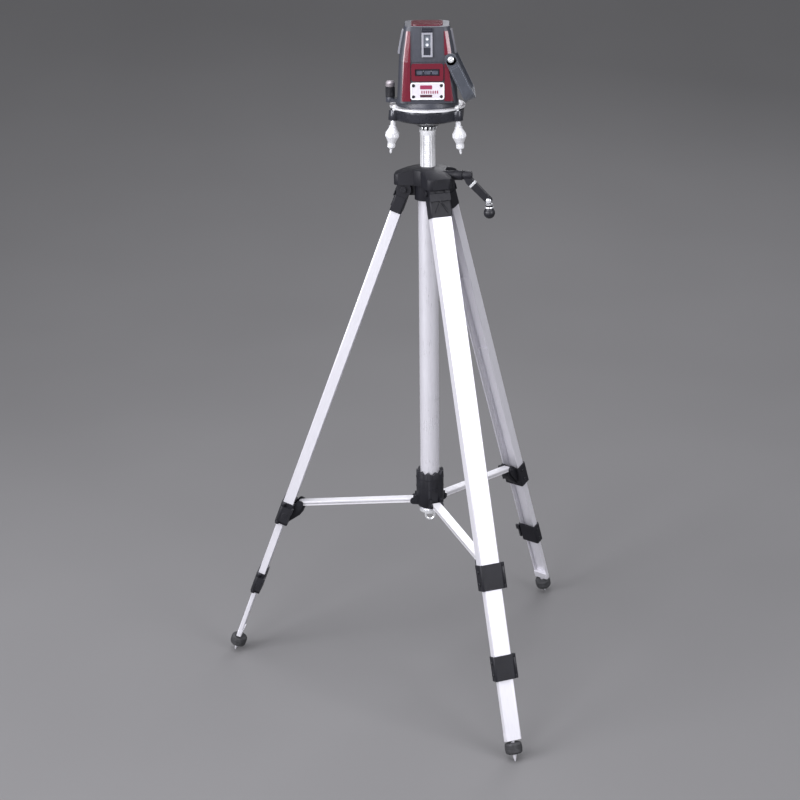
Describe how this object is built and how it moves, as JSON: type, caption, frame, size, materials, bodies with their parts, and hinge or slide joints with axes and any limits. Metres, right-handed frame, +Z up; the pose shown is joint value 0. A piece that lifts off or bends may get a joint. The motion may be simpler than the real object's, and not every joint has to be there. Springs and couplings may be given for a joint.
{
  "type": "laser level on tripod",
  "caption": "Self-levelling line laser on a folding aluminium tripod with a cranked centre column, levelling screws, turntable, clamped telescopic legs and a spreader.",
  "frame": {"origin": "on the floor, straight below the axis of the centre column, where the plumb line meets the floor", "axes": "+Z up along the centre column; the laser front faces -Y and the crank points to +X"},
  "size_m": [0.5982, 0.6369, 1.1362],
  "materials": {
    "casting_black": "satin",
    "leg_alloy": "satin",
    "bright_metal": "polished",
    "strut_alloy": "satin",
    "foot_rubber": "matte",
    "base_black": "satin",
    "ring_silver": "satin",
    "housing_grey": "satin",
    "trim_red": "gloss",
    "panel_dark": "gloss",
    "plate_silver": "satin",
    "window_grey": "satin",
    "strap_webbing": "matte",
    "brass": "satin",
    "cells": "satin",
    "board_green": "matte"
  },
  "bodies": {
    "tripod": {"shoulder": "casting_black", "guide_tube": "leg_alloy", "pivot_bolts": "bright_metal", "end_hook": "bright_metal"},
    "spreader": {"spreader_hub": "casting_black"},
    "front_leg": {"front_leg_top": "casting_black", "front_upper_tube": "leg_alloy", "front_upper_clamp": "casting_black"},
    "front_middle": {"front_middle_tube": "leg_alloy", "front_lower_clamp": "casting_black"},
    "front_lower": {"front_lower_tube": "leg_alloy"},
    "front_foot": {"front_foot": "foot_rubber"},
    "front_upper_lever": {"front_upper_lever": "casting_black"},
    "front_lower_lever": {"front_lower_lever": "casting_black"},
    "front_strut": {"front_strut": "strut_alloy"},
    "right_leg": {"right_leg_top": "casting_black", "right_upper_tube": "leg_alloy", "right_upper_clamp": "casting_black"},
    "right_middle": {"right_middle_tube": "leg_alloy", "right_lower_clamp": "casting_black"},
    "right_lower": {"right_lower_tube": "leg_alloy"},
    "right_foot": {"right_foot": "foot_rubber"},
    "right_upper_lever": {"right_upper_lever": "casting_black"},
    "right_lower_lever": {"right_lower_lever": "casting_black"},
    "right_strut": {"right_strut": "strut_alloy"},
    "left_leg": {"left_leg_top": "casting_black", "left_upper_tube": "leg_alloy", "left_upper_clamp": "casting_black"},
    "left_middle": {"left_middle_tube": "leg_alloy", "left_lower_clamp": "casting_black"},
    "left_lower": {"left_lower_tube": "leg_alloy"},
    "left_foot": {"left_foot": "foot_rubber"},
    "left_upper_lever": {"left_upper_lever": "casting_black"},
    "left_lower_lever": {"left_lower_lever": "casting_black"},
    "left_strut": {"left_strut": "strut_alloy"},
    "column": {"centre_column": "ring_silver", "base_frame": "base_black", "dial_ring": "ring_silver"},
    "lock_ring": {"lock_ring": "bright_metal"},
    "crank": {"crank_shaft": "bright_metal", "crank_arm": "casting_black"},
    "grip_arm": {"grip_spindle": "bright_metal"},
    "grip": {"crank_grip": "casting_black"},
    "laser": {"turntable": "housing_grey", "lower_housing": "housing_grey", "upper_housing": "housing_grey", "red_trim": "trim_red", "front_plate": "plate_silver", "windows": "window_grey", "battery_pack": "cells", "circuit_board": "board_green"},
    "left_level_screw": {"left_level_screw": "bright_metal"},
    "right_level_screw": {"right_level_screw": "bright_metal"},
    "rear_level_screw": {"rear_level_screw": "bright_metal"},
    "fine_knob": {"fine_knob": "casting_black"},
    "control_key": {"control_key": "panel_dark"},
    "battery_door": {"battery_door": "housing_grey"},
    "gimbal": {"gimbal_ring": "brass"},
    "pendulum": {"pendulum": "brass"},
    "strap": {"carry_strap": "strap_webbing"}
  },
  "joints": [
    {"name": "hub_slide", "type": "slide", "parent": "tripod", "child": "spreader", "axis": [0, 0, 1], "range_m": [0, 0.1418]},
    {"name": "front_fold", "type": "hinge", "parent": "tripod", "child": "front_leg", "pos_m": [0.01423, -0.03523, 0.86989], "axis": [0.9272, 0.3746, 0], "range_deg": [0, 12]},
    {"name": "front_middle_slide", "type": "slide", "parent": "front_leg", "child": "front_middle", "axis": [0.1306, -0.3232, -0.9373], "range_m": [-0.1, 0.35]},
    {"name": "front_lower_slide", "type": "slide", "parent": "front_middle", "child": "front_lower", "axis": [0.1306, -0.3232, -0.9373], "range_m": [-0.09, 0.35]},
    {"name": "front_foot_screw", "type": "slide", "parent": "front_lower", "child": "front_foot", "axis": [0.1306, -0.3232, -0.9373], "range_m": [-0.003, 0.012]},
    {"name": "front_upper_clamp_lever", "type": "hinge", "parent": "front_leg", "child": "front_upper_lever", "pos_m": [0.11766, -0.23517, 0.28589], "axis": [0.1306, -0.3232, -0.9373], "range_deg": [0, 100]},
    {"name": "front_lower_clamp_lever", "type": "hinge", "parent": "front_middle", "child": "front_lower_lever", "pos_m": [0.13514, -0.28242, 0.14618], "axis": [0.1306, -0.3232, -0.9373], "range_deg": [0, 100]},
    {"name": "front_strut_hinge", "type": "hinge", "parent": "spreader", "child": "front_strut", "pos_m": [0.01049, -0.02596, 0.317], "axis": [0.9272, 0.3746, 0], "range_deg": [0, 62.2]},
    {"name": "right_fold", "type": "hinge", "parent": "tripod", "child": "right_leg", "pos_m": [0.02339, 0.02994, 0.86989], "axis": [-0.788, 0.6157, 0], "range_deg": [0, 12]},
    {"name": "right_middle_slide", "type": "slide", "parent": "right_leg", "child": "right_middle", "axis": [0.2146, 0.2747, -0.9373], "range_m": [-0.1, 0.35]},
    {"name": "right_lower_slide", "type": "slide", "parent": "right_middle", "child": "right_lower", "axis": [0.2146, 0.2747, -0.9373], "range_m": [-0.09, 0.35]},
    {"name": "right_foot_screw", "type": "slide", "parent": "right_lower", "child": "right_foot", "axis": [0.2146, 0.2747, -0.9373], "range_m": [-0.003, 0.012]},
    {"name": "right_upper_clamp_lever", "type": "hinge", "parent": "right_leg", "child": "right_upper_lever", "pos_m": [0.14483, 0.21949, 0.28589], "axis": [0.2146, 0.2747, -0.9373], "range_deg": [0, 100]},
    {"name": "right_lower_clamp_lever", "type": "hinge", "parent": "right_middle", "child": "right_lower_lever", "pos_m": [0.17702, 0.25824, 0.14618], "axis": [0.2146, 0.2747, -0.9373], "range_deg": [0, 100]},
    {"name": "right_strut_hinge", "type": "hinge", "parent": "spreader", "child": "right_strut", "pos_m": [0.01724, 0.02206, 0.317], "axis": [-0.788, 0.6157, 0], "range_deg": [0, 62.2]},
    {"name": "left_fold", "type": "hinge", "parent": "tripod", "child": "left_leg", "pos_m": [-0.03763, 0.00529, 0.86989], "axis": [-0.1392, -0.9903, 0], "range_deg": [0, 12]},
    {"name": "left_middle_slide", "type": "slide", "parent": "left_leg", "child": "left_middle", "axis": [-0.3452, 0.0485, -0.9373], "range_m": [-0.1, 0.35]},
    {"name": "left_lower_slide", "type": "slide", "parent": "left_middle", "child": "left_lower", "axis": [-0.3452, 0.0485, -0.9373], "range_m": [-0.09, 0.35]},
    {"name": "left_foot_screw", "type": "slide", "parent": "left_lower", "child": "left_foot", "axis": [-0.3452, 0.0485, -0.9373], "range_m": [-0.003, 0.012]},
    {"name": "left_upper_clamp_lever", "type": "hinge", "parent": "left_leg", "child": "left_upper_lever", "pos_m": [-0.2625, 0.01569, 0.28589], "axis": [-0.3452, 0.0485, -0.9373], "range_deg": [0, 100]},
    {"name": "left_lower_clamp_lever", "type": "hinge", "parent": "left_middle", "child": "left_lower_lever", "pos_m": [-0.31215, 0.02418, 0.14618], "axis": [-0.3452, 0.0485, -0.9373], "range_deg": [0, 100]},
    {"name": "left_strut_hinge", "type": "hinge", "parent": "spreader", "child": "left_strut", "pos_m": [-0.02773, 0.0039, 0.317], "axis": [-0.1392, -0.9903, 0], "range_deg": [0, 62.2]},
    {"name": "column_lift", "type": "slide", "parent": "tripod", "child": "column", "axis": [0, 0, 1], "range_m": [-0.02, 0.25]},
    {"name": "crank_turn", "type": "hinge", "parent": "tripod", "child": "crank", "pos_m": [-0.00233, -0.01659, 0.896], "axis": [0.9903, -0.1392, 0], "range_deg": [-193, 2389.3]},
    {"name": "grip_fold", "type": "hinge", "parent": "crank", "child": "grip_arm", "pos_m": [0.09818, -0.03071, 0.8555], "axis": [-0.1392, -0.9903, 0], "range_deg": [0, 78]},
    {"name": "grip_spin", "type": "hinge", "parent": "grip_arm", "child": "grip", "pos_m": [0.09818, -0.03071, 0.8555], "axis": [0.0346, -0.0049, -0.9994], "continuous": true},
    {"name": "lock_ring_turn", "type": "hinge", "parent": "column", "child": "lock_ring", "pos_m": [0, 0, 0.969], "axis": [0, 0, 1], "continuous": true},
    {"name": "pan", "type": "hinge", "parent": "column", "child": "laser", "pos_m": [0, 0, 1.01], "axis": [0, 0, 1], "continuous": true},
    {"name": "left_level_turn", "type": "hinge", "parent": "column", "child": "left_level_screw", "pos_m": [-0.0539, -0.024, 0.9915], "axis": [0.0955, 0.0425, 0.9945], "range_deg": [-720, 720]},
    {"name": "right_level_turn", "type": "hinge", "parent": "column", "child": "right_level_screw", "pos_m": [0.04773, -0.03468, 0.9915], "axis": [-0.0846, 0.0614, 0.9945], "range_deg": [-720, 720]},
    {"name": "rear_level_turn", "type": "hinge", "parent": "column", "child": "rear_level_screw", "pos_m": [0.00617, 0.05868, 0.9915], "axis": [-0.0109, -0.104, 0.9945], "range_deg": [-720, 720]},
    {"name": "fine_turn", "type": "hinge", "parent": "laser", "child": "fine_knob", "pos_m": [-0.0595, 0, 1.02], "axis": [0, 0, 1], "continuous": true},
    {"name": "key_press", "type": "slide", "parent": "laser", "child": "control_key", "axis": [0, 0.9986, -0.053], "range_m": [0, 0.0015], "stiffness_N_per_m": 600},
    {"name": "door_swing", "type": "hinge", "parent": "laser", "child": "battery_door", "pos_m": [0, 0.0463, 1.024], "axis": [-1, 0, 0], "range_deg": [0, 100]},
    {"name": "gimbal_pitch", "type": "hinge", "parent": "laser", "child": "gimbal", "pos_m": [0, 0, 1.0836], "axis": [1, 0, 0], "range_deg": [-3.5, 3.5]},
    {"name": "pendulum_roll", "type": "hinge", "parent": "gimbal", "child": "pendulum", "pos_m": [0, 0, 1.0846], "axis": [0, 1, 0], "range_deg": [-3.5, 3.5]},
    {"name": "strap_swing", "type": "hinge", "parent": "laser", "child": "strap", "pos_m": [0.0368, 0, 1.0856], "axis": [0, -1, 0], "range_deg": [0, 145]}
  ],
  "couplings": [
    {"joint": "hub_slide", "follows": "front_fold", "m_per_rad": 0.67478},
    {"joint": "front_strut_hinge", "follows": "front_fold", "ratio": 5.1624},
    {"joint": "right_fold", "follows": "front_fold", "ratio": 1},
    {"joint": "right_strut_hinge", "follows": "front_fold", "ratio": 5.1624},
    {"joint": "left_fold", "follows": "front_fold", "ratio": 1},
    {"joint": "left_strut_hinge", "follows": "front_fold", "ratio": 5.1624},
    {"joint": "crank_turn", "follows": "column_lift", "rad_per_m": 166.67}
  ]
}
